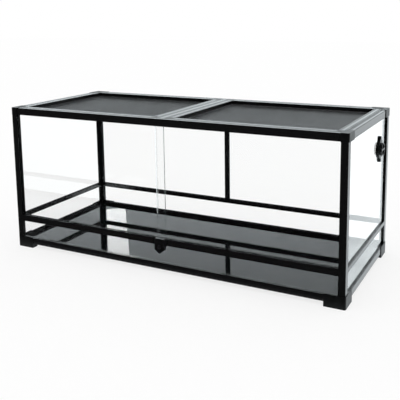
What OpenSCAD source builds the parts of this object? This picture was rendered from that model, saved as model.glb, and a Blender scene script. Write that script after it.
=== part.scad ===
// Reptile terrarium: a raised frame of extruded rails and posts joined by moulded corners,
// glazed all round, with two sliding front doors, two lift-off screen lids, a door lock and
// a cable port. Origin: centre of the footprint on the ground. X runs along the front,
// Y to the back and Z up.

/* [Enclosure] */
// Overall width over the corner feet
overall_w = 1220; // [900:1:1500]
// Overall depth over the corner feet
overall_d = 508; // [400:1:650]
// Overall height to the top of the corner blocks
overall_h = 512; // [420:1:650]
// Open space under the base rails
foot_lift = 15; // [10:0.5:30]
// How far the moulded corners stand out from the rails
corner_proud = 2; // [1:0.1:3]
// How far the top corner blocks stand above the rails
corner_cap = 1; // [0.5:0.1:2]

/* [Rails] */
// Depth of every rail from its outer to its inner face
rail_d = 15; // [14:0.1:18]
// Height of the base rails
base_rail_h = 22; // [20:0.1:30]
// Height of the front mid rail
front_mid_h = 22; // [21:0.1:30]
// Height of the side and back mid rails
mid_h = 15; // [13:0.1:20]
// Height of the mid rails' top faces above the ground
mid_top_z = 119.5; // [95:0.5:180]
// Height of the top rails
top_rail_h = 24; // [23:0.1:30]
// Wall thickness of the extruded sections
wall = 1.8; // [1.4:0.1:2]
// Play of a moulded peg in the chamber that it fills
peg_play = 0.3; // [0.2:0.05:0.5]
// Length of the moulded pegs
peg_len = 28; // [15:1:40]
// Depth of the shallow lines along the rails' top faces
line_depth = 0.8; // [0.3:0.1:1]
// Width of the shallow lines along the rails' top faces
line_w = 1.6; // [0.8:0.1:2]

/* [Posts] */
// Width of the corner posts on both faces
post_w = 22; // [20:0.5:26]
// Thickness of the front posts' outer flange
flange_t = 1.8; // [1.4:0.1:2]
// Width of the bar between the two upper back panes
back_bar_w = 18; // [16:0.5:30]

/* [Glazing] */
// Thickness of the fixed panes
pane_t = 4; // [3:0.5:5]
// Set-back of the fixed panes from the frame's outer face
pane_inset = 5; // [4:0.1:5.5]
// Play on each face of a pane in its groove
pane_play = 0.4; // [0.2:0.05:0.5]
// Depth of the glazing grooves in the rails
groove_depth = 5; // [4:0.5:5.5]
// Play between a pane's edge and the bottom of its groove
pane_end = 0.8; // [0.5:0.1:1.2]
// Height of the rubber blocks under the panes
block_t = 1.5; // [1:0.1:2.5]
// Length of the rubber blocks under the panes
block_len = 30; // [15:1:60]
// Thickness of the floor panel
floor_t = 5; // [3:0.5:6]
// Height of the floor ledge above the base rails' lower faces
ledge_z = 4.7; // [4:0.1:6]
// Reach of the floor ledge
ledge_w = 12; // [8:0.5:20]
// Play all round the floor panel
floor_play = 0.5; // [0.3:0.1:1]

/* [Doors] */
// Thickness of the sliding doors
door_t = 4; // [3:0.5:4]
// Play on each face of a door in its track
door_play = 0.3; // [0.2:0.05:0.5]
// Depth of the lower door tracks
low_track = 7; // [6:0.5:8]
// Depth of the upper door tracks
high_track = 13; // [10:0.5:13]
// How far a closed door reaches into the upper tracks
door_reach = 7; // [5:0.5:8]
// Width over which the closed doors overlap
door_overlap = 34; // [20:1:80]
// Distance of a closed door's edge from the frame's outer face
door_edge = 18.5; // [16:0.5:19.5]
// Thickness of the glide strips under the doors
glide_t = 1.5; // [1:0.1:2]
// How far the door jambs reach past the posts
jamb_reach = 2; // [1:0.5:5]
// Width of the clear seal strip on the rear door's edge
strip_w = 8; // [5:0.5:15]

/* [Lids] */
// Play between a lid and the frame round it
lid_play = 2; // [0.5:0.1:3]
// Width of the lid rails
lid_rail_w = 24; // [18:0.5:35]
// Reach of the ledges that the lids rest on
seat_w = 8; // [6:0.5:11]
// Width of the crossbar between the lids
crossbar_w = 28; // [20:0.5:50]
// Reach of the lip that carries the mesh
lip_w = 4; // [3.5:0.5:8]
// Width of the screen's wires
wire_w = 1; // [0.6:0.1:2]
// Thickness of the screen's wires
wire_t = 0.4; // [0.3:0.05:0.6]
// Number of gaps in the screen along a lid
mesh_cols = 18; // [6:1:20]
// Number of gaps in the screen across a lid
mesh_rows = 14; // [5:1:15]
// Width and height of the rubber spline that holds the mesh
spline_w = 2.6; // [2:0.1:3]

/* [Lock] */
// Width of the lock body
lock_w = 36; // [30:0.5:45]
// Height of the lock body
lock_h = 49; // [42:0.5:60]
// Thickness of the lock body
lock_t = 10; // [9:0.5:14]
// Height of the barrel's centre above the lock's lower tip
lock_bore_z = 22; // [18:0.5:26]
// Diameter of the lock barrel
barrel_d = 14; // [10:0.5:16]
// Running fit of the barrel in its bore, on the radius
barrel_fit = 0.05; // [0.02:0.01:0.1]
// Thickness of the bracket plate
bracket_t = 1.5; // [1:0.1:1.8]
// How far the bracket plate shows on each side of the lock
bracket_side = 2; // [1:0.5:6]
// How far the bracket plate reaches below the mid rail
bracket_drop = 8; // [2:0.5:12]

/* [Cable port] */
// Height of the port's centre above the ground
port_z = 390; // [200:1:400]
// Distance of the port's centre from the frame's back face
port_back = 109; // [80:1:200]
// Diameter of the round middle of the port plate
port_d = 60; // [50:1:80]
// Distance of the screws from the port's centre
port_screw_r = 37; // [32:0.5:50]
// Thickness of the port plate and of the inner flange
port_t = 5; // [3:0.1:6]
// Diameter of the opening through the port
port_bore_d = 38; // [30:1:42]
// Running fit of the shutter in the opening, on the radius
shutter_fit = 0.1; // [0.05:0.01:0.1]
// Height of the shutter's cap above the plate
cap_h = 8; // [6:0.5:12]
// Depth of the hollow in the shutter's cap
cap_hollow = 5; // [3:0.5:5.5]

/* [Corner mouldings] */
// Length of the arms of the corner feet
foot_arm = 64; // [40:1:90]
// Thickness of the feet's arms under the rails
foot_arm_w = 22; // [18:0.5:26]
// How far the feet reach up past the base rails
foot_rise = 2; // [1:0.5:5]
// Length of the top corner blocks' arms on the sides
top_arm_side = 54; // [30:1:80]
// Length of the top corner blocks' arms on the front
top_arm_front = 23; // [18:1:80]
// Length of the top corner blocks' arms on the back
top_arm_back = 56; // [30:1:80]
// Radius of the mouldings' outer corner
corner_r = 6; // [3:0.5:10]
// Wall thickness of the mouldings' hollow underside
moulding_wall = 2.4; // [2:0.1:3]

/* [Hidden] */
$fn = 48;
black = "#0d0e10";
moulded = "#1b1d1f";
clear_glass = "#dfe8ea66";
smoked_glass = "#14171a";
rubber = "#26282a";
steel = "#8d9296";

half_w = overall_w / 2 - corner_proud;
half_d = overall_d / 2 - corner_proud;
rail_top = overall_h - corner_cap;
top_z = rail_top - top_rail_h;
base_top = foot_lift + base_rail_h;
front_mid_z = mid_top_z - front_mid_h;
mid_z = mid_top_z - mid_h;

groove_u = pane_inset - pane_play;
groove_w = pane_t + 2 * pane_play;
arm_t = pane_inset + pane_t + pane_play + 2;
pane_edge = rail_d + 1;
slot_u = pane_edge - pane_end;
base_groove = groove_depth + 1;
top_groove = groove_depth + 1;
floor_z = foot_lift + ledge_z + wall;
floor_top = floor_z + floor_t;

track_w = door_t + 2 * door_play;
track_wall = (rail_d - 2 * track_w - wall) / 2;
front_track = track_wall;
rear_track = track_wall + track_w + wall;
door_z = mid_top_z - low_track + glide_t;
door_top = top_z + door_reach;
door_w = half_w - door_edge + door_overlap / 2;

peg_low = high_track + wall;
chamber_top = top_rail_h - wall;
seat_z = top_groove + wall;
lid_z = top_z + seat_z;
lid_h = rail_top - lid_z;
lid_edge = rail_d + lid_play;
lid_x0 = crossbar_w / 2 + lid_play;
lid_w = half_w - lid_edge - lid_x0;
lid_d = 2 * (half_d - lid_edge);
lid_chamber = [wall, lid_rail_w - wall, wall, lid_h - wall - line_depth];
mesh_play = 0.3;
wire_play = 0.05;
mesh_t = 2 * wire_t + wire_play;

lock_top = mid_top_z + bracket_t;
lock_z = lock_top - lock_h;
lock_y = half_d + bracket_t;
cam_r = barrel_d / 2 + 3;
cam_room = 1;
cam_t = 3;

port_x = half_w - pane_inset;
port_y = half_d - port_back;
sleeve_wall = 3;
sleeve_d = port_bore_d + 2 * sleeve_wall;
ear_r = 6.5;
screw_d = 4;

// ---- Placing ----

// Stands its children on one side of the frame: X along the side, Y inward from the outer
// face, Z up. Sides are 0 front, 90 right, 180 back and 270 left.
module on_side(a) {
    rotate([0, 0, a]) translate([0, -(a % 180 == 0 ? half_d : half_w), 0]) children();
}

// Stands its children at a corner: X and Y inward from the two outer faces.
module at_corner(side, end) {
    translate([side * half_w, end * half_d, 0])
        mirror([side > 0 ? 1 : 0, 0, 0])
            mirror([0, end > 0 ? 1 : 0, 0])
                children();
}

// Draws a section of (inward, up) out into a bar centred on the side.
module bar(len, z = 0) {
    translate([-len / 2, 0, z]) rotate([90, 0, 90]) linear_extrude(len) children();
}

// A rectangle from its limits.
module rect(x0, x1, y0, y1) {
    translate([x0, y0]) square([x1 - x0, y1 - y0]);
}

// A block from its limits.
module box(x0, x1, y0, y1, z0, z1) {
    translate([x0, y0, z0]) cube([x1 - x0, y1 - y0, z1 - z0]);
}

// Half the free length of a side between its two end pieces.
function side_len(a, inset) = 2 * ((a % 180 == 0 ? half_w : half_d) - inset);

// ---- Rail sections ----

// Shallow lines along a rail's top face, cut from its section.
module top_lines(places, top) {
    for (u = places) rect(u, u + line_w, top - line_depth, top + 1);
}

// Base rail: chamber below, glazing groove on top.
module base_rail_section() {
    difference() {
        rect(0, rail_d, 0, base_rail_h);
        rect(wall, rail_d - wall, wall, base_rail_h - base_groove - wall);
        rect(groove_u, groove_u + groove_w, base_rail_h - base_groove, base_rail_h + 1);
    }
}

// Ledge that carries the floor panel.
module floor_ledge_section() {
    rect(rail_d, rail_d + ledge_w, ledge_z, ledge_z + wall);
}

// Side and back mid rail: a glazing groove above and below.
module mid_rail_section() {
    difference() {
        rect(0, rail_d, 0, mid_h);
        rect(groove_u, groove_u + groove_w, -1, groove_depth);
        rect(groove_u, groove_u + groove_w, mid_h - groove_depth, mid_h + 1);
    }
}

// Front mid rail: two door tracks above, a chamber and one glazing groove below.
module front_mid_section(from = 0) {
    difference() {
        rect(from, rail_d, 0, front_mid_h);
        for (u = [front_track, rear_track])
            rect(u, u + track_w, front_mid_h - low_track, front_mid_h + 1);
        rect(groove_u, groove_u + groove_w, -1, groove_depth);
        rect(wall * 1.5, rail_d - wall, groove_depth + wall, front_mid_h - low_track - wall);
    }
}

// Side and back top rail: glazing groove below, chamber above.
module top_rail_section() {
    difference() {
        rect(0, rail_d, 0, top_rail_h);
        rect(groove_u, groove_u + groove_w, -1, top_groove);
        rect(wall, rail_d - wall, seat_z, chamber_top);
        top_lines([rail_d * 0.62], top_rail_h);
    }
}

// Front top rail: two door tracks below, chamber above.
module front_top_section() {
    difference() {
        rect(0, rail_d, 0, top_rail_h);
        for (u = [front_track, rear_track]) rect(u, u + track_w, -1, high_track);
        rect(wall, rail_d - wall, peg_low, chamber_top);
        top_lines([rail_d * 0.62], top_rail_h);
    }
}

// Ledge that carries a lid.
module lid_seat_section() {
    rect(rail_d, rail_d + seat_w, seat_z - wall, seat_z);
}

// ---- Rails ----

module base_rail(a) {
    short = a % 180 == 0 ? 0 : ledge_w + mesh_play;
    color(black) on_side(a) {
        bar(side_len(a, rail_d), foot_lift) base_rail_section();
        bar(side_len(a, rail_d + short), foot_lift) floor_ledge_section();
    }
}

module mid_rail(a) {
    color(black) on_side(a) bar(side_len(a, post_w), mid_z) mid_rail_section();
}

// The front mid rail is notched at its ends and runs on behind the posts' flanges.
module front_mid_rail() {
    color(black) on_side(0) {
        bar(side_len(0, post_w), front_mid_z) front_mid_section();
        bar(side_len(0, arm_t), front_mid_z) front_mid_section(flange_t + 0.1);
    }
}

module top_rail(a) {
    short = a % 180 == 0 ? 0 : seat_w + mesh_play;
    color(black) on_side(a) {
        bar(side_len(a, rail_d), top_z)
            if (a == 0) front_top_section(); else top_rail_section();
        bar(side_len(a, rail_d + short), top_z) lid_seat_section();
    }
}

// The crossbar lies on the front and back ledges and carries the lids' inner edges.
module crossbar() {
    half = crossbar_w / 2;
    wing = half + seat_w;
    color(black) rotate([0, 0, 90]) {
        bar(side_len(90, rail_d + 0.2)) difference() {
            rect(-half, half, lid_z, rail_top);
            rect(-half + wall, half - wall, lid_z + wall, rail_top - wall - line_depth);
            top_lines([-half + 3 * wall, half - 3 * wall - line_w], rail_top);
        }
        bar(side_len(90, rail_d + seat_w + 0.3)) union() {
            difference() {
                rect(-half, half, top_z, lid_z);
                rect(-half + wall, half - wall, top_z + wall, lid_z + 1);
            }
            for (s = [-1, 1]) rect(min(s * half, s * wing), max(s * half, s * wing), lid_z - wall, lid_z);
        }
    }
}

// ---- Posts ----

// Back post: an L of two slotted arms round a chamber for the pegs.
module back_post_section() {
    difference() {
        union() {
            rect(0, post_w, 0, arm_t);
            rect(0, arm_t, 0, post_w);
        }
        rect(wall, arm_t - wall, wall, arm_t - wall);
        rect(slot_u, post_w + 1, groove_u, groove_u + groove_w);
        rect(groove_u, groove_u + groove_w, slot_u, post_w + 1);
    }
}

// Front post: a slotted arm along the side and a thin flange in front of the doors.
module front_post_section() {
    difference() {
        union() {
            rect(0, arm_t, 0, post_w);
            rect(0, post_w, 0, flange_t);
        }
        rect(wall, arm_t - wall, wall, arm_t - wall);
        rect(groove_u, groove_u + groove_w, slot_u, post_w + 1);
    }
}

module post(side, end) {
    color(black) at_corner(side, end) translate([0, 0, base_top])
        linear_extrude(top_z - base_top)
            if (end < 0) front_post_section(); else back_post_section();
}

// Bar between the upper back panes, slotted on both edges.
module centre_bar() {
    half = back_bar_w / 2;
    color(black) on_side(180) translate([0, 0, mid_top_z])
        linear_extrude(top_z - mid_top_z) difference() {
            rect(-half, half, groove_u - 2, arm_t);
            for (s = [-1, 1])
                rect(min(s, s * (half + 1)), max(s, s * (half + 1)), groove_u, groove_u + groove_w);
        }
}

// ---- Corner mouldings ----

// Plan of a corner moulding: an L with its outer corner rounded.
module corner_plan(arm_x, arm_y, inner) {
    difference() {
        union() {
            rect(corner_r - corner_proud, arm_x, -corner_proud, arm_y);
            rect(-corner_proud, arm_x, corner_r - corner_proud, arm_y);
            translate([corner_r - corner_proud, corner_r - corner_proud]) circle(corner_r);
        }
        rect(inner, arm_x + 1, inner, arm_y + 1);
    }
}

// Pegs that enter the chambers of the two rails and of the post.
module pegs(rail_z0, rail_z1, post_z0, post_z1) {
    inner = rail_d - wall - peg_play;
    outer = wall + peg_play;
    box(rail_d - 1, rail_d + peg_len, outer, inner, rail_z0, rail_z1);
    box(outer, inner, rail_d - 1, rail_d + peg_len, rail_z0, rail_z1);
    box(outer, arm_t - outer, outer, arm_t - outer, post_z0, post_z1);
}

// Corner foot: a hollow ribbed sole, a thin outer wall over the rails, a core and pegs.
module foot(side, end) {
    sole_top = foot_lift - moulding_wall;
    ribs = 3;
    step = (foot_arm - rail_d) / (ribs + 1);
    color(moulded) at_corner(side, end) {
        difference() {
            linear_extrude(foot_lift) corner_plan(foot_arm, foot_arm, foot_arm_w);
            for (i = [0 : ribs]) {
                from = rail_d + i * step + moulding_wall / 2;
                to = rail_d + (i + 1) * step - moulding_wall / 2 - (i == ribs ? moulding_wall / 2 : 0);
                box(from, to, moulding_wall - corner_proud, foot_arm_w - moulding_wall, -1, sole_top);
                box(moulding_wall - corner_proud, foot_arm_w - moulding_wall, max(from, foot_arm_w), to, -1,
                    sole_top);
            }
        }
        linear_extrude(base_top + foot_rise) corner_plan(foot_arm, foot_arm, 0);
        box(0, rail_d, 0, rail_d, foot_lift, base_top);
        pegs(foot_lift + wall + peg_play, base_top - base_groove - wall - peg_play,
             base_top - 1, base_top + peg_len);
    }
}

// Top corner block: a thin outer wall and cap over the rails, a core and pegs.
module top_corner(side, end) {
    arm_x = end < 0 ? top_arm_front : top_arm_back;
    color(moulded) at_corner(side, end) {
        translate([0, 0, top_z - corner_cap])
            linear_extrude(overall_h - top_z + corner_cap) corner_plan(arm_x, top_arm_side, 0);
        translate([0, 0, rail_top]) linear_extrude(corner_cap) corner_plan(arm_x, top_arm_side, rail_d);
        box(0, rail_d, 0, rail_d, top_z, overall_h);
        pegs(top_z + peg_low + peg_play, top_z + chamber_top - peg_play, top_z - peg_len, top_z + 1);
    }
}

// ---- Glazing ----

// An upright pane on one side, from one edge to the other along the side.
module pane(a, x0, x1, z0, z1) {
    color(clear_glass) on_side(a) box(x0, x1, pane_inset, pane_inset + pane_t, z0, z1);
}

function pane_half(a) = (a % 180 == 0 ? half_w : half_d) - pane_edge;
lower_pane_z = base_top - base_groove + block_t;
upper_pane_z = mid_top_z - groove_depth + block_t;
upper_pane_top = top_z + top_groove - pane_end;

module lower_pane(a) {
    top = (a == 0 ? front_mid_z : mid_z) + groove_depth - pane_end;
    pane(a, -pane_half(a), pane_half(a), lower_pane_z, top);
}

// Right-hand pane with the hole for the cable port's sleeve and the holes for its screws.
module port_pane() {
    difference() {
        pane(90, -pane_half(90), pane_half(90), upper_pane_z, upper_pane_top);
        at_port() {
            cylinder(d = sleeve_d + 2, h = 60, center = true);
            for (s = [-1, 1]) translate([0, s * port_screw_r, 0])
                cylinder(d = screw_d + 1, h = 60, center = true);
        }
    }
}

module back_pane(side) {
    inner = 1 + pane_end;
    x0 = side > 0 ? inner : -pane_half(180);
    x1 = side > 0 ? pane_half(180) : -inner;
    mirror([1, 0, 0]) pane(180, x0, x1, upper_pane_z, upper_pane_top);
}

// Rubber blocks that the panes stand on, two to a pane.
module setting_blocks() {
    module pair(a, x0, x1, z) {
        inset = (x1 - x0) / 5;
        on_side(a) for (x = [x0 + inset, x1 - inset])
            box(x - block_len / 2, x + block_len / 2, pane_inset, pane_inset + pane_t, z - block_t, z);
    }
    color(rubber) {
        for (a = [0, 90, 180, 270]) pair(a, -pane_half(a), pane_half(a), lower_pane_z);
        for (a = [90, 270]) pair(a, -pane_half(a), pane_half(a), upper_pane_z);
        pair(180, -pane_half(180), 0, upper_pane_z);
        pair(180, 0, pane_half(180), upper_pane_z);
    }
}

// Rubber channels in the front posts, round the front lower pane's ends.
module front_pane_channels() {
    lip = 2.8;
    color(rubber) for (s = [-1, 1]) at_corner(s, -1) translate([0, 0, base_top])
        linear_extrude(front_mid_z - base_top) difference() {
            rect(arm_t, post_w, flange_t, pane_inset + pane_t + lip);
            rect(pane_edge - pane_end, post_w + 1, pane_inset, pane_inset + pane_t);
        }
}

module floor_panel() {
    x = half_w - rail_d - floor_play;
    y = half_d - rail_d - floor_play;
    color(smoked_glass) box(-x, x, -y, y, floor_z, floor_top);
}

// ---- Doors ----

// Glide strips in the lower tracks.
module door_glides() {
    color(rubber) on_side(0) for (u = [front_track, rear_track])
        box(-half_w + arm_t, half_w - arm_t, u + door_play, u + track_w - door_play,
            door_z - glide_t, door_z);
}

// Jamb in a front post: a web and two fins that close the tracks' ends.
module door_jamb(side) {
    fin_end = post_w + jamb_reach;
    color(black) at_corner(side, -1) translate([0, 0, mid_top_z])
        linear_extrude(top_z - mid_top_z) {
            rect(arm_t, arm_t + wall, flange_t, rail_d);
            rect(arm_t, fin_end, front_track + track_w, rear_track);
            rect(arm_t, fin_end, rear_track + track_w, rail_d);
        }
}

// A door hangs in the front track on the left and in the rear track on the right.
module door(side) {
    y = (side < 0 ? front_track : rear_track) + door_play;
    x0 = side < 0 ? -half_w + door_edge : -door_overlap / 2;
    color(clear_glass) on_side(0) box(x0, x0 + door_w, y, y + door_t, door_z, door_top);
}

// Clear strip on the rear door's edge that closes the gap between the doors.
module door_seal_strip() {
    y = rear_track + door_play;
    gap = rear_track - front_track - door_t;
    color(clear_glass) on_side(0)
        box(-door_overlap / 2, strip_w - door_overlap / 2, y - gap + door_play, y,
            mid_top_z + glide_t, top_z - glide_t);
}

// ---- Lock ----

// Stands its children on the front face: X along it, Y up and Z out to the front.
module on_front(y) {
    translate([0, -y, 0]) rotate([90, 0, 0]) children();
}

// Outline of the lock body, straight above and drawn in to a blunt tip below.
module lock_outline() {
    shoulder = 13;
    tip_w = 10;
    hull() {
        for (s = [-1, 1]) {
            translate([s * (lock_w / 2 - 3), lock_h - 3]) circle(3);
            translate([s * (lock_w / 2 - 2), shoulder]) circle(2);
        }
        for (s = [-1, 1]) translate([s * (tip_w / 2 - 4), 4]) circle(4);
    }
}

// Folded plate on the front mid rail; its top edge laps over the rail's outer wall.
module lock_bracket() {
    half = lock_w / 2 + bracket_side;
    drop = front_mid_h + bracket_t + bracket_drop;
    color(moulded) {
        difference() {
            on_front(half_d) translate([-half, lock_top - drop, 0]) cube([2 * half, drop, bracket_t]);
            on_front(half_d - 1) translate([0, lock_z + lock_bore_z, 0]) cylinder(r = cam_r + cam_room, h = 20);
        }
        box(-half, half, -half_d, -half_d + front_track - 0.1, mid_top_z, lock_top);
    }
}

// Lock body with the barrel's bore and the cam's recess behind it.
module lock_body() {
    color(moulded) on_front(lock_y) translate([0, lock_z, 0]) difference() {
        linear_extrude(lock_t) lock_outline();
        translate([0, lock_bore_z, -1]) cylinder(d = barrel_d + 2 * barrel_fit, h = lock_t + 2);
        translate([0, lock_bore_z, -1]) cylinder(r = cam_r + cam_room, h = 1 + cam_t + cam_room);
    }
}

// Barrel with its cam behind and its keyway in front.
module lock_barrel() {
    face = 0.8;
    color(steel) on_front(lock_y) translate([0, lock_z + lock_bore_z, 0]) difference() {
        union() {
            translate([0, 0, cam_room / 2]) cylinder(d = barrel_d, h = lock_t - cam_room / 2 + face);
            intersection() {
                translate([0, 0, cam_room / 2]) cylinder(r = cam_r, h = cam_t);
                translate([-barrel_d / 4, 0, 0]) cube([barrel_d / 2, cam_r, 20]);
            }
        }
        translate([-0.8, -3.5, lock_t - 4]) cube([1.6, 7, 10]);
    }
}

// ---- Cable port ----

// Stands its children at the port: X and Y across the pane, Z out to the right.
module at_port() {
    translate([port_x, port_y, port_z]) rotate([90, 0, 90]) children();
}

// Outline of the port plate: a round middle with an ear above and below.
module port_outline() {
    circle(d = port_d);
    for (s = [-1, 1]) hull() {
        translate([0, s * port_screw_r]) circle(ear_r, $fn = 32);
        circle(d = port_d * 0.7, $fn = 32);
    }
}

module port_screw_holes(d) {
    for (s = [-1, 1]) translate([0, s * port_screw_r, 0]) cylinder(d = d, h = 60, center = true);
}

// Outer plate with the sleeve that passes through the pane.
module port_plate() {
    color(moulded) at_port() difference() {
        union() {
            linear_extrude(port_t) port_outline();
            translate([0, 0, -pane_t - port_t]) cylinder(d = sleeve_d, h = pane_t + 2 * port_t);
        }
        cylinder(d = port_bore_d + 2 * shutter_fit, h = 60, center = true);
        port_screw_holes(screw_d + 0.4);
    }
}

// Inner flange round the sleeve's end.
module port_flange() {
    color(moulded) at_port() translate([0, 0, -pane_t - port_t]) difference() {
        linear_extrude(port_t) port_outline();
        cylinder(d = sleeve_d + 0.4, h = 60, center = true);
        port_screw_holes(screw_d - 0.4);
    }
}

// Shutter that turns in the opening, with a hollow cap on the plate and a grip across it.
module port_shutter() {
    cap_d = port_bore_d + 4;
    cap_wall = 2.5;
    grip = 6;
    color(black) at_port() {
        translate([0, 0, -pane_t]) cylinder(d = port_bore_d, h = pane_t + port_t);
        translate([0, 0, port_t]) difference() {
            cylinder(d = cap_d, h = cap_h);
            translate([0, 0, cap_h - cap_hollow]) difference() {
                cylinder(d = cap_d - 2 * cap_wall, h = cap_hollow + 1);
                translate([-cap_d / 2, -grip / 2, -1]) cube([cap_d, grip, cap_hollow + 3]);
            }
        }
    }
}

module port_screws() {
    color(steel) at_port() for (s = [-1, 1]) translate([0, s * port_screw_r, 0]) {
        translate([0, 0, -pane_t]) cylinder(d = screw_d, h = pane_t + port_t);
        translate([0, 0, port_t]) cylinder(d = screw_d * 1.9, h = 1.6);
    }
}

// ---- Lids ----

// Stands its children at a lid's centre, on the ledges.
module at_lid(side) {
    translate([side * (lid_x0 + lid_w / 2), 0, lid_z]) children();
}

// Stands its children on one edge of a lid: X along it, Y inward from its outer face.
module on_lid_edge(a) {
    rotate([0, 0, a]) translate([0, -(a % 180 == 0 ? lid_d : lid_w) / 2, 0]) children();
}

function lid_len(a, inset) = (a % 180 == 0 ? lid_w : lid_d) - 2 * inset;

// Lid rail: a hollow bar with two lines on top and a thin lip under the mesh.
module lid_rail_section() {
    difference() {
        rect(0, lid_rail_w, 0, lid_h);
        rect(lid_chamber[0], lid_chamber[1], lid_chamber[2], lid_chamber[3]);
        top_lines([lid_rail_w * 0.2, lid_rail_w * 0.75], lid_h);
    }
}

module lid_rails(side) {
    color(black) at_lid(side) for (a = [0, 90, 180, 270]) on_lid_edge(a) {
        short = a % 180 == 0 ? 0 : mesh_play;
        bar(lid_len(a, lid_rail_w + short)) lid_rail_section();
        bar(lid_len(a, lid_rail_w + mesh_play + (short > 0 ? lip_w : 0)))
            rect(lid_rail_w, lid_rail_w + lip_w, 0, wall);
    }
}

// Moulded corner pieces with pegs into the lid rails.
module lid_corners(side) {
    r = 3;
    c = [for (v = [0 : 3]) lid_chamber[v] + (v % 2 == 0 ? peg_play : -peg_play)];
    color(moulded) at_lid(side) for (sx = [-1, 1], sy = [-1, 1])
        mirror([sx > 0 ? 1 : 0, 0, 0]) mirror([0, sy > 0 ? 1 : 0, 0])
            translate([-lid_w / 2, -lid_d / 2, 0]) {
                linear_extrude(lid_h) union() {
                    rect(r, lid_rail_w, 0, lid_rail_w);
                    rect(0, lid_rail_w, r, lid_rail_w);
                    translate([r, r]) circle(r);
                }
                box(lid_rail_w - 1, lid_rail_w + peg_len, c[0], c[1], c[2], c[3]);
                box(c[0], c[1], lid_rail_w - 1, lid_rail_w + peg_len, c[2], c[3]);
            }
}

// Screen: straight wires in two layers that cross, laid from lip to lip.
module lid_mesh(side) {
    w = lid_w - 2 * (lid_rail_w + mesh_play);
    d = lid_d - 2 * (lid_rail_w + mesh_play);
    color(steel) at_lid(side) translate([0, 0, wall]) {
        for (j = [0 : mesh_rows]) translate([0, (d - wire_w) * (j / mesh_rows - 0.5), 0])
            box(-w / 2, w / 2, -wire_w / 2, wire_w / 2, 0, wire_t);
        for (i = [0 : mesh_cols]) translate([(w - wire_w) * (i / mesh_cols - 0.5), 0, 0])
            box(-wire_w / 2, wire_w / 2, -d / 2, d / 2, wire_t + wire_play, mesh_t);
    }
}

// Rubber spline that presses the screen's edge against the lips.
module lid_spline(side) {
    w = lid_w - 2 * lid_rail_w;
    d = lid_d - 2 * lid_rail_w;
    color(rubber) at_lid(side) translate([0, 0, wall + mesh_t]) linear_extrude(spline_w) difference() {
        square([w, d], center = true);
        square([w - 2 * spline_w, d - 2 * spline_w], center = true);
    }
}

// ---- The pieces ----

foot(-1, -1);  // foot_front_left
foot(1, -1);  // foot_front_right
foot(-1, 1);  // foot_back_left
foot(1, 1);  // foot_back_right
base_rail(0);  // base_rail_front
base_rail(180);  // base_rail_back
base_rail(270);  // base_rail_left
base_rail(90);  // base_rail_right
floor_panel();
post(-1, -1);  // post_front_left
post(1, -1);  // post_front_right
post(-1, 1);  // post_back_left
post(1, 1);  // post_back_right
front_mid_rail();  // mid_rail_front
mid_rail(180);  // mid_rail_back
mid_rail(270);  // mid_rail_left
mid_rail(90);  // mid_rail_right
top_rail(0);  // top_rail_front
top_rail(180);  // top_rail_back
top_rail(270);  // top_rail_left
top_rail(90);  // top_rail_right
top_corner(-1, -1);  // top_corner_front_left
top_corner(1, -1);  // top_corner_front_right
top_corner(-1, 1);  // top_corner_back_left
top_corner(1, 1);  // top_corner_back_right
crossbar();  // lid_crossbar
centre_bar();  // back_centre_bar
lower_pane(0);  // lower_pane_front
lower_pane(180);  // lower_pane_back
lower_pane(270);  // lower_pane_left
lower_pane(90);  // lower_pane_right
pane(270, -pane_half(270), pane_half(270), upper_pane_z, upper_pane_top);  // upper_pane_left
port_pane();  // upper_pane_right
back_pane(-1);  // back_pane_left
back_pane(1);  // back_pane_right
setting_blocks();
front_pane_channels();
door_glides();
door_jamb(-1);  // door_jamb_left
door_jamb(1);  // door_jamb_right
door(-1);  // door_left
door(1);  // door_right
door_seal_strip();
lock_bracket();
lock_body();
lock_barrel();
port_plate();
port_flange();
port_shutter();
port_screws();
lid_rails(-1);  // left_lid_rails
lid_corners(-1);  // left_lid_corners
lid_mesh(-1);  // left_lid_mesh
lid_spline(-1);  // left_lid_spline
lid_rails(1);  // right_lid_rails
lid_corners(1);  // right_lid_corners
lid_mesh(1);  // right_lid_mesh
lid_spline(1);  // right_lid_spline
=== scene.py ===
"""Reptile terrarium: a black rail frame on moulded feet, clear panes all round, two sliding
doors, two lift-off screen lids, a door lock and a cable port, in a plain white studio."""
import math

import bmesh
import bpy
from mathutils import Matrix, Vector


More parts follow.
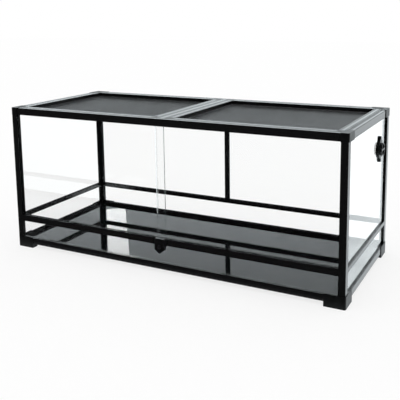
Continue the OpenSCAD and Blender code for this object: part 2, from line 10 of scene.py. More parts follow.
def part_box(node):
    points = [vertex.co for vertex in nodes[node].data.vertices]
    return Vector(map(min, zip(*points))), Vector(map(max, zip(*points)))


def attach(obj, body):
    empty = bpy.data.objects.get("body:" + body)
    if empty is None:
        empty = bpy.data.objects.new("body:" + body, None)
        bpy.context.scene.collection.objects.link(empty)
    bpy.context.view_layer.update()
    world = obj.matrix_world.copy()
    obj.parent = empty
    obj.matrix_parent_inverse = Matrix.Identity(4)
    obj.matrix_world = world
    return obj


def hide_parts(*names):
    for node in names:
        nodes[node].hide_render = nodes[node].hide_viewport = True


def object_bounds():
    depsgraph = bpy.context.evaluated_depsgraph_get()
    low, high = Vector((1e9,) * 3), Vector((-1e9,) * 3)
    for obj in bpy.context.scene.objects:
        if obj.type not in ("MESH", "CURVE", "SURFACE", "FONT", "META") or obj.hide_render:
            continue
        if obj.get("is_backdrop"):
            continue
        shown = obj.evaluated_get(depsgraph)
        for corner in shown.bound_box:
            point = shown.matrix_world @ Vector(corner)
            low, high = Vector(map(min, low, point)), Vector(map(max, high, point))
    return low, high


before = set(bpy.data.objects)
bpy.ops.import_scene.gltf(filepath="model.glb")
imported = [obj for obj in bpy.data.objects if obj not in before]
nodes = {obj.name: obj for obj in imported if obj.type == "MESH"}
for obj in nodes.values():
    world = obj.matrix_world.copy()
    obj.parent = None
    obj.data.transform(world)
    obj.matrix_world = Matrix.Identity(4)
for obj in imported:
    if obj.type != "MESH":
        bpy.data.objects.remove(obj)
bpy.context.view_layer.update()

# ---- Extruded frame: base rails, posts, mid rails, top rails, crossbar, bars and jambs ----
# Black anodised aluminium sections with fine die lines, cut square and pushed over the corner
# mouldings' pegs. The rails behind and on the left are matt on top, where the glazing tape is
# folded over.

ANODISED = (0.0022, 0.0023, 0.0025, 1.0)
ANODISED_DARK_SHARE = 0.7
ANODISED_IOR = 1.5
ANODISED_ROUGH = (0.14, 0.24)
DIE_LINES_PER_METRE = 900.0
DIE_LINE_DEPTH = 0.00002
DYE_CLOUDS_PER_METRE = 14.0
ALONG_BAR_STRETCH = 0.004
EDGE_SOFTNESS = 0.00015
# Reach of the black matt band along the sections' corners: a rounded edge's matt and a painted
# shade of the gaps between bars.
GAP_SHADE_REACH = 0.003
GAP_SHADE_TURN = (0.99, 0.90)
SQUARE_ON = 0.7
NOISE_REACH = (0.3, 0.7)
BLEND_REACH = (0.35, 0.65)


def new_material(name):
    """An empty node material, with its tree and its output."""
    material = bpy.data.materials.new(name)
    material.use_nodes = True
    tree = material.node_tree
    tree.nodes.clear()
    output = tree.nodes.new("ShaderNodeOutputMaterial")
    return material, tree, output


def add(tree, kind, **settings):
    """A new node with its plain settings."""
    node = tree.nodes.new(kind)
    for name, value in settings.items():
        setattr(node, name, value)
    return node


def object_noise(tree, scale, detail=2.0, stretch=(1.0, 1.0, 1.0)):
    """Noise over the piece itself, drawn out along an axis by a small stretch factor."""
    place = add(tree, "ShaderNodeTexCoord")
    mapping = add(tree, "ShaderNodeMapping")
    mapping.inputs["Scale"].default_value = stretch
    noise = add(tree, "ShaderNodeTexNoise")
    noise.inputs["Scale"].default_value = scale
    noise.inputs["Detail"].default_value = detail
    tree.links.new(place.outputs["Object"], mapping.inputs["Vector"])
    tree.links.new(mapping.outputs["Vector"], noise.inputs["Vector"])
    return noise.outputs["Fac"]


def mapped(tree, value, reach=(0.0, 1.0), onto=(0.0, 1.0)):
    """Maps a value's reach onto a range and holds it at the ends."""
    node = add(tree, "ShaderNodeMapRange")
    for label, number in zip(("From Min", "From Max", "To Min", "To Max"), (*reach, *onto)):
        node.inputs[label].default_value = number
    tree.links.new(value, node.inputs["Value"])
    return node.outputs["Result"]


def spread(tree, noise, onto):
    """Maps a noise's usual reach onto a range."""
    return mapped(tree, noise, NOISE_REACH, onto)


def blend_colours(tree, value, low, high):
    """A colour that runs between two as a noise does."""
    ramp = add(tree, "ShaderNodeValToRGB")
    for stop, place, colour in zip(ramp.color_ramp.elements, BLEND_REACH, (low, high)):
        stop.position = place
        stop.color = colour
    tree.links.new(value, ramp.inputs["Fac"])
    return ramp.outputs["Color"]


def bump(tree, value, depth, strength=1.0, softened=0.0):
    """A bump of a real depth in metres, over edges that are softened by a small radius."""
    node = add(tree, "ShaderNodeBump")
    node.inputs["Strength"].default_value = strength
    node.inputs["Distance"].default_value = depth
    tree.links.new(value, node.inputs["Height"])
    if softened > 0:
        edge = add(tree, "ShaderNodeBevel")
        edge.inputs["Radius"].default_value = softened
        tree.links.new(edge.outputs["Normal"], node.inputs["Normal"])
    return node.outputs["Normal"]


def mix_shaders(tree, share, first, second):
    """Only the first shader at 0, only the second at 1."""
    mix = add(tree, "ShaderNodeMixShader")
    tree.links.new(share, mix.inputs["Fac"])
    tree.links.new(first, mix.inputs[1])
    tree.links.new(second, mix.inputs[2])
    return mix.outputs["Shader"]


def corner_matt_and_gap_shade(tree):
    """1 where a section's corner turns, 0 on its open faces: the rounded edge's matt and a
    painted shade of the gaps.
    """
    edge = add(tree, "ShaderNodeBevel")
    edge.inputs["Radius"].default_value = GAP_SHADE_REACH
    face = add(tree, "ShaderNodeNewGeometry")
    turn = add(tree, "ShaderNodeVectorMath", operation="DOT_PRODUCT")
    tree.links.new(edge.outputs["Normal"], turn.inputs[0])
    tree.links.new(face.outputs["Normal"], turn.inputs[1])
    return mapped(tree, turn.outputs["Value"], GAP_SHADE_TURN)


def on_faces_across(tree, axis):
    """1 on the faces that look along an axis, 0 on the edges between them."""
    facing = add(tree, "ShaderNodeTexCoord")
    parts = add(tree, "ShaderNodeSeparateXYZ")
    size = add(tree, "ShaderNodeMath", operation="ABSOLUTE")
    flat = add(tree, "ShaderNodeMath", operation="GREATER_THAN")
    flat.inputs[1].default_value = SQUARE_ON
    tree.links.new(facing.outputs["Normal"], parts.inputs[0])
    tree.links.new(parts.outputs[axis], size.inputs[0])
    tree.links.new(size.outputs[0], flat.inputs[0])
    return flat.outputs[0]


def times(colour, share):
    """A colour made darker or lighter by a share."""
    return tuple(c * share for c in colour[:3]) + (1.0,)


def anodised(axis, matt_tops=0.0):
    """Black anodised skin whose die lines run along one axis; a share of its tops may be matt."""
    stretch = [1.0, 1.0, 1.0]
    stretch["XYZ".index(axis)] = ALONG_BAR_STRETCH
    kind = "taped" if matt_tops else "anodised"
    material, tree, output = new_material(f"{kind}_along_{axis.lower()}")
    skin = add(tree, "ShaderNodeBsdfPrincipled")
    skin.inputs["IOR"].default_value = ANODISED_IOR
    lines = object_noise(tree, DIE_LINES_PER_METRE, 3.0, stretch)
    cloud = object_noise(tree, DYE_CLOUDS_PER_METRE)
    darker = times(ANODISED, ANODISED_DARK_SHARE)
    tree.links.new(blend_colours(tree, cloud, darker, ANODISED), skin.inputs["Base Color"])
    tree.links.new(spread(tree, lines, ANODISED_ROUGH), skin.inputs["Roughness"])
    tree.links.new(bump(tree, lines, DIE_LINE_DEPTH, 1.0, EDGE_SOFTNESS), skin.inputs["Normal"])
    # Black matt diffuse: on the taped tops, and along every corner as the rounded edge's matt
    # plus a painted shade of the gaps.
    matt = add(tree, "ShaderNodeBsdfDiffuse")
    matt.inputs["Color"].default_value = ANODISED
    share = add(tree, "ShaderNodeMath", operation="MULTIPLY_ADD", use_clamp=True)
    share.inputs[1].default_value = matt_tops
    tree.links.new(on_faces_across(tree, "Z"), share.inputs[0])
    tree.links.new(corner_matt_and_gap_shade(tree), share.inputs[2])
    mixed = mix_shaders(tree, share.outputs[0], skin.outputs["BSDF"], matt.outputs["BSDF"])
    tree.links.new(mixed, output.inputs["Surface"])
    return material


def finish_nodes(names, material):
    """Gives a CAD node's own slots a finish."""
    for name in names:
        slots = nodes[name].data.materials
        if len(slots) == 0:
            slots.append(material)
        for i in range(len(slots)):
            slots[i] = material


BARS_ALONG = {
    "X": ["base_rail_front", "base_rail_back", "mid_rail_front", "mid_rail_back",
          "top_rail_front", "top_rail_back"],
    "Y": ["base_rail_left", "base_rail_right", "mid_rail_left", "mid_rail_right",
          "top_rail_left", "top_rail_right", "lid_crossbar"],
    "Z": ["post_front_left", "post_front_right", "post_back_left", "post_back_right",
          "back_centre_bar", "door_jamb_left", "door_jamb_right"],
}
anodised_skin = {}
for bar_axis, bar_names in BARS_ALONG.items():
    anodised_skin[bar_axis] = anodised(bar_axis)
    finish_nodes(bar_names, anodised_skin[bar_axis])

MATT_TOPS = 0.85
TAPED_ALONG = {
    "X": ["base_rail_back", "mid_rail_back"],
    "Y": ["base_rail_left", "mid_rail_left"],
}
for bar_axis, bar_names in TAPED_ALONG.items():
    finish_nodes(bar_names, anodised(bar_axis, MATT_TOPS))

# ---- Corner feet and top corner blocks ----
# Injection moulded in black nylon with a fine spark texture, a little greyer than the bars.
# Their pegs hold the rails and posts together.

NYLON = (0.0018, 0.0019, 0.0021, 1.0)
NYLON_WORN = (0.0036, 0.0038, 0.0041, 1.0)
CORNER_IOR = 1.24
CORNER_ROUGH = (0.3, 0.42)
MOULDED_EDGE = 0.0009
HANDLING_MARKS_PER_METRE = 60.0
SPARK_GRAIN_PER_METRE = 2600.0
SPARK_GRAIN_DEPTH = 0.00004
SPARK_GRAIN_STRENGTH = 0.6


def moulded_nylon(name, ior, roughness):
    """Black moulded plastic with a fine grain and faint handling marks."""
    material, tree, output = new_material(name)
    skin = add(tree, "ShaderNodeBsdfPrincipled")
    skin.inputs["IOR"].default_value = ior
    marks = object_noise(tree, HANDLING_MARKS_PER_METRE, 4.0)
    grain = object_noise(tree, SPARK_GRAIN_PER_METRE, 2.0)
    relief = bump(tree, grain, SPARK_GRAIN_DEPTH, SPARK_GRAIN_STRENGTH, MOULDED_EDGE)
    tree.links.new(blend_colours(tree, marks, NYLON, NYLON_WORN), skin.inputs["Base Color"])
    tree.links.new(spread(tree, marks, roughness), skin.inputs["Roughness"])
    tree.links.new(relief, skin.inputs["Normal"])
    tree.links.new(skin.outputs["BSDF"], output.inputs["Surface"])
    return material


corner_nylon = moulded_nylon("corner_nylon", CORNER_IOR, CORNER_ROUGH)
finish_nodes([name for name in nodes if name.startswith(("foot_", "top_corner_"))], corner_nylon)

# ---- Floor panel ----
# Toughened glass backed with black enamel, laid on the base rails' ledges. It mirrors the room
# and has a faint bloom of dust.

ENAMEL = (0.0016, 0.0020, 0.0022, 1.0)
ENAMEL_DUSTY_SHARE = 1.8
ENAMEL_IOR = 1.24
DUST_PER_METRE = 9.0
POLISHED_ROUGH = (0.0, 0.012)


def enamelled_glass():
    """Black enamelled glass: a deep black under a clear polished face."""
    material, tree, output = new_material("enamelled_glass")
    skin = add(tree, "ShaderNodeBsdfPrincipled")
    skin.inputs["IOR"].default_value = ENAMEL_IOR
    dust = object_noise(tree, DUST_PER_METRE, 6.0)
    dusty = times(ENAMEL, ENAMEL_DUSTY_SHARE)
    tree.links.new(blend_colours(tree, dust, ENAMEL, dusty), skin.inputs["Base Color"])
    tree.links.new(spread(tree, dust, POLISHED_ROUGH), skin.inputs["Roughness"])
    tree.links.new(skin.outputs["BSDF"], output.inputs["Surface"])
    return material


finish_nodes(["floor_panel"], enamelled_glass())

# ---- Panes and doors ----
# Clear float glass with ground edges. The fixed panes stand in the rails' grooves and the two
# doors in their tracks. A faint waviness from the float bath is all that shows on their faces.

FLOAT_TINT = (0.997, 1.0, 0.999, 1.0)
FLOAT_IOR = {"X": 1.5, "Y": 1.2}
FLOAT_WAVES_PER_METRE = 7.0
FLOAT_WAVE_DEPTH = 0.00003
GROUND_EDGE = (0.05, 0.07, 0.066, 1.0)
GROUND_EDGE_ROUGH = 0.22


def lit_through(tree, surface, tint=(1.0, 1.0, 1.0, 1.0)):
    """A clear surface that lets the lamps shine through it."""
    clear = add(tree, "ShaderNodeBsdfTransparent")
    clear.inputs["Color"].default_value = tint
    path = add(tree, "ShaderNodeLightPath")
    return mix_shaders(tree, path.outputs["Is Shadow Ray"], surface, clear.outputs["BSDF"])


def float_glass(axis):
    """Clear glass whose faces look along an axis, with ground edges."""
    material, tree, output = new_material(f"float_glass_across_{axis.lower()}")
    faces = on_faces_across(tree, axis)
    glass = add(tree, "ShaderNodeBsdfPrincipled")
    glass.inputs["Transmission Weight"].default_value = 1.0
    glass.inputs["IOR"].default_value = FLOAT_IOR[axis]
    tint = add(tree, "ShaderNodeMix", data_type="RGBA")
    tint.inputs[6].default_value = GROUND_EDGE
    tint.inputs[7].default_value = FLOAT_TINT
    rough = mapped(tree, faces, onto=(GROUND_EDGE_ROUGH, 0.0))
    waves = object_noise(tree, FLOAT_WAVES_PER_METRE, 1.0)
    tree.links.new(faces, tint.inputs[0])
    tree.links.new(tint.outputs[2], glass.inputs["Base Color"])
    tree.links.new(rough, glass.inputs["Roughness"])
    tree.links.new(bump(tree, waves, FLOAT_WAVE_DEPTH), glass.inputs["Normal"])
    surface = lit_through(tree, glass.outputs["BSDF"], FLOAT_TINT)
    tree.links.new(surface, output.inputs["Surface"])
    return material


GLASS_ACROSS_Y = ["lower_pane_front", "lower_pane_back", "back_pane_left", "back_pane_right",
                  "door_left", "door_right"]
GLASS_ACROSS_X = ["lower_pane_left", "lower_pane_right", "upper_pane_left", "upper_pane_right"]
finish_nodes(GLASS_ACROSS_Y, float_glass("Y"))
finish_nodes(GLASS_ACROSS_X, float_glass("X"))

# ---- Rubber: setting blocks, pane channels, glides and lid splines ----
# Soft black rubber: blocks cut from sheet under the panes, and extruded channels, glides and
# splines cut to length. They keep the glass and the screens off the metal.

RUBBER = (0.008, 0.008, 0.008, 1.0)
RUBBER_BLOOM = (0.020, 0.020, 0.021, 1.0)
RUBBER_ROUGH = (0.62, 0.8)
BLOOM_PER_METRE = 120.0
BLOOM_DEPTH = 0.00003


def soft_rubber():
    """Dull black rubber with a grey bloom."""
    material, tree, output = new_material("soft_rubber")
    skin = add(tree, "ShaderNodeBsdfPrincipled")
    bloom = object_noise(tree, BLOOM_PER_METRE, 4.0)
    tree.links.new(blend_colours(tree, bloom, RUBBER, RUBBER_BLOOM), skin.inputs["Base Color"])
    tree.links.new(spread(tree, bloom, RUBBER_ROUGH), skin.inputs["Roughness"])
    tree.links.new(bump(tree, bloom, BLOOM_DEPTH), skin.inputs["Normal"])
    tree.links.new(skin.outputs["BSDF"], output.inputs["Surface"])
    return material


finish_nodes(["setting_blocks", "front_pane_channels", "door_glides", "left_lid_spline",
              "right_lid_spline"], soft_rubber())

# ---- Seal strip on the rear door ----
# A clear extruded strip, taped along the rear door's edge, whose soft fin closes the gap to the
# front door.

TAPE_THICKNESS = 0.0005
TAPE_BEFORE_FIN = 0.0022
FIN_THICKNESS = 0.0004
FIN_REACH = 0.0045
FIN_CURL = 0.6
FIN_STEPS = 6
CLEAR_OF_GLASS = 0.00004
STRIP_TINTS = ((0.93, 0.94, 0.94, 1.0), (0.97, 0.975, 0.975, 1.0))
STRIP_IOR = 1.18
STRIP_ROUGH = (0.02, 0.07)
STRIP_LINES_PER_METRE = 1500.0
STRIP_LINE_STRETCH = (1.0, 1.0, 0.01)


def clear_plastic():
    """Clear plastic with faint lines from its die."""
    material, tree, output = new_material("clear_plastic")
    strip = add(tree, "ShaderNodeBsdfPrincipled")
    strip.inputs["Transmission Weight"].default_value = 1.0
    strip.inputs["IOR"].default_value = STRIP_IOR
    lines = object_noise(tree, STRIP_LINES_PER_METRE, 2.0, STRIP_LINE_STRETCH)
    tree.links.new(blend_colours(tree, lines, *STRIP_TINTS), strip.inputs["Base Color"])
    tree.links.new(spread(tree, lines, STRIP_ROUGH), strip.inputs["Roughness"])
    tree.links.new(lit_through(tree, strip.outputs["BSDF"]), output.inputs["Surface"])
    return material


def mesh_object(name, mesh):
    """A mesh as an object of the scene, at the origin."""
    piece = bpy.data.objects.new(name, mesh)
    bpy.context.scene.collection.objects.link(piece)
    return piece


def extruded_up(name, outline, z0, z1):
    """A closed prism from a plan outline, counter-clockwise seen from above."""
    bm = bmesh.new()
    lower = [bm.verts.new((x, y, z0)) for x, y in outline]
    upper = [bm.verts.new((x, y, z1)) for x, y in outline]
    bm.faces.new(lower[::-1])
    bm.faces.new(upper)
    for i in range(len(outline)):
        j = (i + 1) % len(outline)
        bm.faces.new((lower[i], lower[j], upper[j], upper[i]))
    bmesh.ops.recalc_face_normals(bm, faces=bm.faces)
    mesh = bpy.data.meshes.new(name)
    bm.to_mesh(mesh)
    bm.free()
    return mesh_object(name, mesh)


low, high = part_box("door_seal_strip")
glass_side = high.y - CLEAR_OF_GLASS
tape_front = glass_side - TAPE_THICKNESS
fin_root = low.x + TAPE_BEFORE_FIN
fin_curve = []
for i in range(FIN_STEPS + 1):
    out = i / FIN_STEPS
    fin_curve.append((fin_root + FIN_REACH * out,
                      tape_front - (tape_front - low.y) * out ** FIN_CURL))
seal_outline = [(low.x, glass_side), (low.x, tape_front), (fin_root, tape_front)]
seal_outline += fin_curve + [(x + FIN_THICKNESS, y) for x, y in reversed(fin_curve)]
seal_outline += [(high.x, tape_front), (high.x, glass_side)]
seal = extruded_up("door_seal", seal_outline, low.z, high.z)
seal.data.materials.append(clear_plastic())
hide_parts("door_seal_strip")
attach(seal, "right_door")

# ---- Door lock ----
# A black moulded body on a folded black bracket, which laps over the front mid rail's outer wall.
# The barrel is blackened steel, made on a lathe, and rotates in the body's bore.

BLACKENED_STEEL = (0.10, 0.10, 0.11, 1.0)
STEEL_DARK_SHARE = 0.75
STEEL_ROUGH = (0.24, 0.38)
TOOL_MARKS_PER_METRE = 2200.0
TOOL_MARK_STRETCH = (1.0, 1.0, 0.08)
TOOL_MARK_DEPTH = 0.00001
LOCK_ROUGH = (0.26, 0.36)


def turned_steel(name, colour):
    """Turned steel with fine tool marks."""
    material, tree, output = new_material(name)
    skin = add(tree, "ShaderNodeBsdfPrincipled")
    skin.inputs["Metallic"].default_value = 1.0
    marks = object_noise(tree, TOOL_MARKS_PER_METRE, 3.0, TOOL_MARK_STRETCH)
    darker = times(colour, STEEL_DARK_SHARE)
    tree.links.new(blend_colours(tree, marks, darker, colour), skin.inputs["Base Color"])
    tree.links.new(spread(tree, marks, STEEL_ROUGH), skin.inputs["Roughness"])
    tree.links.new(bump(tree, marks, TOOL_MARK_DEPTH), skin.inputs["Normal"])
    tree.links.new(skin.outputs["BSDF"], output.inputs["Surface"])
    return material


finish_nodes(["lock_bracket", "lock_body"], moulded_nylon("lock_nylon", CORNER_IOR, LOCK_ROUGH))
finish_nodes(["lock_barrel"], turned_steel("blackened_barrel", BLACKENED_STEEL))

# ---- Cable port ----
# A moulded plate outside the right pane and a flange inside it, drawn together by two screws,
# with a shutter that turns in the opening.

ZINC = (0.46, 0.47, 0.48, 1.0)
PORT_IOR = 1.4
PORT_ROUGH = (0.28, 0.4)

finish_nodes(["port_plate", "port_flange", "port_shutter"],
             moulded_nylon("port_nylon", PORT_IOR, PORT_ROUGH))
finish_nodes(["port_screws"], turned_steel("zinc_screws", ZINC))

# ---- Lid frames ----
# Each lid is four anodised bars, cut square and pushed onto moulded corners. The bars' lips
# carry the screen, and the lid lies loose on the top rails' ledges.

finish_nodes(["left_lid_corners", "right_lid_corners"], corner_nylon)
finish_nodes(["left_lid_rails", "right_lid_rails"], anodised_skin["Y"])

# ---- Lid screens ----
# A woven wire screen, blackened, laid on the lips and held by the rubber spline. The wires are
# straight square rods in two layers that cross, with a flat rolled border under the spline.

WIRE_PITCH = 0.0018
WIRE_WIDTH = 0.00042
BORDER_WIDTH = 0.0022
BLACKENED = (0.036, 0.038, 0.040, 1.0)
WORN_SHARE = 1.6
WIRE_ROUGH = (0.2, 0.32)
WEAR_PER_METRE = 700.0


def blackened_wire():
    """Black coated wire, a little worn in patches."""
    material, tree, output = new_material("blackened_wire")
    skin = add(tree, "ShaderNodeBsdfPrincipled")
    wear = object_noise(tree, WEAR_PER_METRE, 3.0)
    worn = times(BLACKENED, WORN_SHARE)
    tree.links.new(blend_colours(tree, wear, BLACKENED, worn), skin.inputs["Base Color"])
    tree.links.new(spread(tree, wear, WIRE_ROUGH), skin.inputs["Roughness"])
    tree.links.new(skin.outputs["BSDF"], output.inputs["Surface"])
    return material


def wire_tree(material):
    """Geometry nodes: two layers of straight wires across a rectangle, on its lower face."""
    tree = bpy.data.node_groups.new("woven_screen", "GeometryNodeTree")
    face = tree.interface
    face.new_socket("Geometry", in_out="OUTPUT", socket_type="NodeSocketGeometry")
    for label in ("Low corner", "Size"):
        face.new_socket(label, in_out="INPUT", socket_type="NodeSocketVector")
    for label in ("Pitch", "Wire width"):
        face.new_socket(label, in_out="INPUT", socket_type="NodeSocketFloat")
    source = tree.nodes.new("NodeGroupInput")
    result = tree.nodes.new("NodeGroupOutput")

    def maths(operation, a, b=None):
        node = tree.nodes.new("ShaderNodeMath")
        node.operation = operation
        for socket, value in zip(node.inputs, (a, b)):
            if isinstance(value, (int, float)):
                socket.default_value = value
            elif value is not None:
                tree.links.new(value, socket)
        return node.outputs[0]

    def combine(x, y, z):
        node = tree.nodes.new("ShaderNodeCombineXYZ")
        for socket, value in zip(node.inputs, (x, y, z)):
            if isinstance(value, (int, float)):
                socket.default_value = value
            else:
                tree.links.new(value, socket)
        return node.outputs[0]

    def split(vector):
        node = tree.nodes.new("ShaderNodeSeparateXYZ")
        tree.links.new(vector, node.inputs[0])
        return node.outputs

    low = split(source.outputs["Low corner"])
    size = split(source.outputs["Size"])
    pitch = source.outputs["Pitch"]
    width = source.outputs["Wire width"]
    half = maths("MULTIPLY", width, 0.5)
    layers = tree.nodes.new("GeometryNodeJoinGeometry")
    for along in (0, 1):
        across = 1 - along
        count = maths("FLOOR", maths("DIVIDE", size[across], pitch))
        step = maths("DIVIDE", size[across], count)
        first = maths("ADD", low[across], maths("MULTIPLY", step, 0.5))
        middle = maths("ADD", low[along], maths("MULTIPLY", size[along], 0.5))
        height = maths("ADD", low[2], half if along == 0 else maths("MULTIPLY", width, 1.5))
        row = tree.nodes.new("GeometryNodeMeshLine")
        rod = tree.nodes.new("GeometryNodeMeshCube")
        tree.links.new(count, row.inputs["Count"])
        if along == 0:
            tree.links.new(combine(middle, first, height), row.inputs["Start Location"])
            tree.links.new(combine(0.0, step, 0.0), row.inputs["Offset"])
            tree.links.new(combine(size[0], width, width), rod.inputs["Size"])
        else:
            tree.links.new(combine(first, middle, height), row.inputs["Start Location"])
            tree.links.new(combine(step, 0.0, 0.0), row.inputs["Offset"])
            tree.links.new(combine(width, size[1], width), rod.inputs["Size"])
        lay = tree.nodes.new("GeometryNodeInstanceOnPoints")
        tree.links.new(row.outputs["Mesh"], lay.inputs["Points"])
        tree.links.new(rod.outputs["Mesh"], lay.inputs["Instance"])
        tree.links.new(lay.outputs["Instances"], layers.inputs["Geometry"])
    real = tree.nodes.new("GeometryNodeRealizeInstances")
    paint = tree.nodes.new("GeometryNodeSetMaterial")
    paint.inputs["Material"].default_value = material
    tree.links.new(layers.outputs["Geometry"], real.inputs["Geometry"])
    tree.links.new(real.outputs["Geometry"], paint.inputs["Geometry"])
    tree.links.new(paint.outputs["Geometry"], result.inputs["Geometry"])
    return tree


def socket_id(tree, label):
    """The identifier of a node group's named input."""
    return next(s.identifier for s in tree.interface.items_tree
                if s.item_type == "SOCKET" and s.in_out == "INPUT" and s.name == label)


def made_by_nodes(name, tree, values):
    """Runs a geometry tree once and keeps the result as a plain mesh."""
    maker = mesh_object(name + "_maker", bpy.data.meshes.new(name + "_maker"))
    modifier = maker.modifiers.new("make", "NODES")
    modifier.node_group = tree
    for label, value in values.items():
        modifier[socket_id(tree, label)] = value
    seen = maker.evaluated_get(bpy.context.evaluated_depsgraph_get())
    mesh = bpy.data.meshes.new_from_object(seen)
    bpy.data.objects.remove(maker)
    mesh.name = name
    return mesh_object(name, mesh)


def add_box(bm, low, high):
    """A closed box between two corners."""
    made = bmesh.ops.create_cube(bm, size=1.0)
    low, high = Vector(low), Vector(high)
    size = high - low
    bmesh.ops.scale(bm, vec=size, verts=made["verts"])
    bmesh.ops.translate(bm, vec=(low + high) / 2, verts=made["verts"])


screen_nodes = wire_tree(blackened_wire())
for lid in ("left_lid", "right_lid"):
    low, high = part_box(lid + "_mesh")
    inner_low = Vector((low.x + BORDER_WIDTH, low.y + BORDER_WIDTH, low.z))
    inner_size = Vector((high.x - low.x - 2 * BORDER_WIDTH, high.y - low.y - 2 * BORDER_WIDTH, 0))
    screen = made_by_nodes(lid + "_screen", screen_nodes, {
        "Low corner": inner_low, "Size": inner_size,
        "Pitch": WIRE_PITCH, "Wire width": WIRE_WIDTH})
    bm = bmesh.new()
    bm.from_mesh(screen.data)
    for x0, x1, y0, y1 in ((low.x, high.x, low.y, inner_low.y),
                           (low.x, high.x, high.y - BORDER_WIDTH, high.y),
                           (low.x, inner_low.x, inner_low.y, high.y - BORDER_WIDTH),
                           (high.x - BORDER_WIDTH, high.x, inner_low.y, high.y - BORDER_WIDTH)):
        add_box(bm, (x0, y0, low.z), (x1, y1, high.z))
    bm.to_mesh(screen.data)
    bm.free()
    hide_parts(lid + "_mesh")
    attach(screen, lid)

# ---- Camera ----
# Stands in front on the right, a little above the lids, at the photograph's viewing angle. Its
# place, its angles and its shift come from a fit to the frame's edges.

CENTRE_DEPTH = 0.254
CAMERA_PLACE = Vector((1.0759, -1.7269 - CENTRE_DEPTH, 0.8511))
CAMERA_YAW = -0.4734
CAMERA_PITCH = -0.1610
CAMERA_ROLL = -0.0109
FOCAL_PIXELS = 656.82
FRAME_PIXELS = 400.0
SHIFT_PIXELS = Vector((12.0, -85.0))
CAMERA_REACH = (0.05, 60.0)

camera_data = bpy.data.cameras.new("camera")
camera = bpy.data.objects.new("camera", camera_data)
bpy.context.scene.collection.objects.link(camera)
forward = Vector((math.sin(CAMERA_YAW) * math.cos(CAMERA_PITCH),
                  math.cos(CAMERA_YAW) * math.cos(CAMERA_PITCH), math.sin(CAMERA_PITCH)))
right = forward.cross(Vector((0, 0, 1))).normalized()
up = right.cross(forward)
rolled_right = right * math.cos(CAMERA_ROLL) + up * math.sin(CAMERA_ROLL)
rolled_up = rolled_right.cross(forward)
turn = Matrix((rolled_right, rolled_up, -forward)).transposed().to_4x4()
camera.matrix_world = Matrix.Translation(CAMERA_PLACE) @ turn
camera_data.lens = FOCAL_PIXELS / FRAME_PIXELS * camera_data.sensor_width
camera_data.shift_x = -SHIFT_PIXELS.x / FRAME_PIXELS
camera_data.shift_y = SHIFT_PIXELS.y / FRAME_PIXELS
camera_data.clip_start, camera_data.clip_end = CAMERA_REACH
bpy.context.scene.camera = camera

# ---- Studio ----
# A white floor and a white room behind; the room is dark on the camera's side, so that the
# front of the black frame stays black. A tall lamp behind on the left shows in the floor panel.

WHITE = (1.0, 1.0, 1.0, 1.0)
COOL_WHITE = (0.90, 0.97, 1.0, 1.0)
FLOOR_PAINT = (0.97, 0.97, 0.97, 1.0)
FLOOR_HALF = 14.0
FLOOR_GLOW = 0.78
FLOOR_DARKENS = (-0.255, -0.30)
MIRRORED_ABOVE = 0.5
DARK_SIDE = 0.05
BRIGHT_SIDE = 1.6
BRIGHT_FLOOR = 1.5
SIDES_MEET = (-0.35, 0.05)
OVERHEAD_FADE = (0.5, 0.9)
OVERHEAD_STRENGTH = 0.4


def studio_floor():
    """White floor that keeps the shadow; mirrors see its front part as dark, as the room is."""
    material, tree, output = new_material("studio_floor")
    white = add(tree, "ShaderNodeBsdfDiffuse")
    white.inputs["Color"].default_value = FLOOR_PAINT
    glow = add(tree, "ShaderNodeEmission")
    tone = add(tree, "ShaderNodeMix", data_type="RGBA")
    tone.inputs[6].default_value = WHITE
    tone.inputs[7].default_value = COOL_WHITE
    dark = add(tree, "ShaderNodeBsdfDiffuse")
    dark.inputs["Color"].default_value = (DARK_SIDE, DARK_SIDE, DARK_SIDE, 1.0)
    place = add(tree, "ShaderNodeTexCoord")
    parts = add(tree, "ShaderNodeSeparateXYZ")
    path = add(tree, "ShaderNodeLightPath")
    mirrored = add(tree, "ShaderNodeMath", operation="GREATER_THAN")
    mirrored.inputs[1].default_value = MIRRORED_ABOVE
    both = add(tree, "ShaderNodeMath", operation="MULTIPLY")
    lit = add(tree, "ShaderNodeMath", operation="SUBTRACT", use_clamp=True)
    lit.inputs[0].default_value = 1.0
    glowing = add(tree, "ShaderNodeMath", operation="MULTIPLY")
    glowing.inputs[1].default_value = FLOOR_GLOW
    tree.links.new(place.outputs["Object"], parts.inputs[0])
    tree.links.new(path.outputs["Glossy Depth"], mirrored.inputs[0])
    tree.links.new(mapped(tree, parts.outputs["Y"], FLOOR_DARKENS), both.inputs[0])
    tree.links.new(mirrored.outputs[0], both.inputs[1])
    tree.links.new(mirrored.outputs[0], tone.inputs[0])
    tree.links.new(tone.outputs[2], glow.inputs["Color"])
    brightness = mapped(tree, mirrored.outputs[0], onto=(1.0, BRIGHT_FLOOR))
    tree.links.new(brightness, glow.inputs["Strength"])
    tree.links.new(path.outputs["Is Diffuse Ray"], lit.inputs[1])
    tree.links.new(lit.outputs[0], glowing.inputs[0])
    pale = mix_shaders(tree, glowing.outputs[0], white.outputs["BSDF"], glow.outputs["Emission"])
    mixed = mix_shaders(tree, both.outputs[0], pale, dark.outputs["BSDF"])
    tree.links.new(mixed, output.inputs["Surface"])
    return material


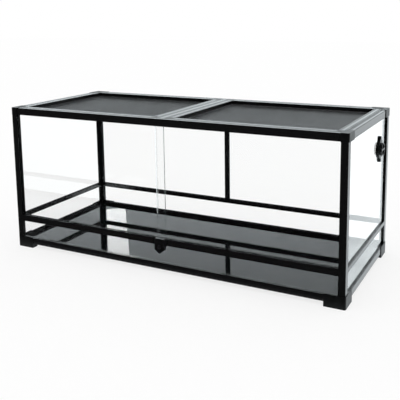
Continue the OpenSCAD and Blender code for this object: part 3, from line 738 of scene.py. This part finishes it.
bm = bmesh.new()
bmesh.ops.create_grid(bm, x_segments=1, y_segments=1, size=FLOOR_HALF)
floor_mesh = bpy.data.meshes.new("studio_floor")
bm.to_mesh(floor_mesh)
bm.free()
floor_mesh.materials.append(studio_floor())
floor = mesh_object("studio_floor", floor_mesh)
floor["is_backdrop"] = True

world = bpy.data.worlds.new("studio")
bpy.context.scene.world = world
world.use_nodes = True
sky = world.node_tree
sky.nodes.clear()
sky_out = add(sky, "ShaderNodeOutputWorld")
white_room = add(sky, "ShaderNodeBackground")
white_room.inputs["Color"].default_value = WHITE
mirrored_room = add(sky, "ShaderNodeBackground")
mirrored_room.inputs["Color"].default_value = COOL_WHITE
direction = add(sky, "ShaderNodeTexCoord")
parts = add(sky, "ShaderNodeSeparateXYZ")
mirrored_strength = add(sky, "ShaderNodeMath", operation="MULTIPLY")
sky.links.new(direction.outputs["Generated"], parts.inputs[0])
behind = mapped(sky, parts.outputs["Y"], SIDES_MEET, (DARK_SIDE, BRIGHT_SIDE))
overhead = mapped(sky, parts.outputs["Z"], OVERHEAD_FADE, (1.0, OVERHEAD_STRENGTH))
sky.links.new(behind, mirrored_strength.inputs[0])
sky.links.new(overhead, mirrored_strength.inputs[1])
sky.links.new(mirrored_strength.outputs[0], mirrored_room.inputs["Strength"])
path = add(sky, "ShaderNodeLightPath")
mirror_seen = add(sky, "ShaderNodeMath", operation="GREATER_THAN")
mirror_seen.inputs[1].default_value = MIRRORED_ABOVE
sky.links.new(path.outputs["Glossy Depth"], mirror_seen.inputs[0])
by_mirror = mix_shaders(sky, mirror_seen.outputs[0], white_room.outputs["Background"],
                        mirrored_room.outputs["Background"])
by_dull = mix_shaders(sky, path.outputs["Is Diffuse Ray"], by_mirror,
                      white_room.outputs["Background"])
sky.links.new(by_dull, sky_out.inputs["Surface"])

STRIP_LAMP_PLACE = Vector((-2.52, 3.0, 1.43))
STRIP_LAMP_AIM = Vector((-0.25, 0.0, 0.2))
STRIP_LAMP_LEAN = math.radians(2.5)
STRIP_LAMP_WIDTH = 0.215
STRIP_LAMP_HEIGHT = 0.66
STRIP_LAMP_WATTS = 2.3

strip_lamp = bpy.data.lights.new("strip_lamp", "AREA")
strip_lamp.shape = "RECTANGLE"
strip_lamp.size = STRIP_LAMP_WIDTH
strip_lamp.size_y = STRIP_LAMP_HEIGHT
strip_lamp.energy = STRIP_LAMP_WATTS
strip_light = bpy.data.objects.new("strip_lamp", strip_lamp)
bpy.context.scene.collection.objects.link(strip_light)
toward_floor = (STRIP_LAMP_AIM - STRIP_LAMP_PLACE).to_track_quat("-Z", "Y").to_matrix()
strip_light.matrix_world = (Matrix.Translation(STRIP_LAMP_PLACE) @ toward_floor.to_4x4() @
                            Matrix.Rotation(STRIP_LAMP_LEAN, 4, "Z"))
strip_light.visible_camera = False
shows_in = bpy.data.collections.new("strip_lamp_shows_in")
for name in ["floor_panel"] + GLASS_ACROSS_Y + GLASS_ACROSS_X:
    shows_in.objects.link(nodes[name])
strip_light.light_linking.receiver_collection = shows_in

bpy.context.scene.view_settings.view_transform = "Standard"

low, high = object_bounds()
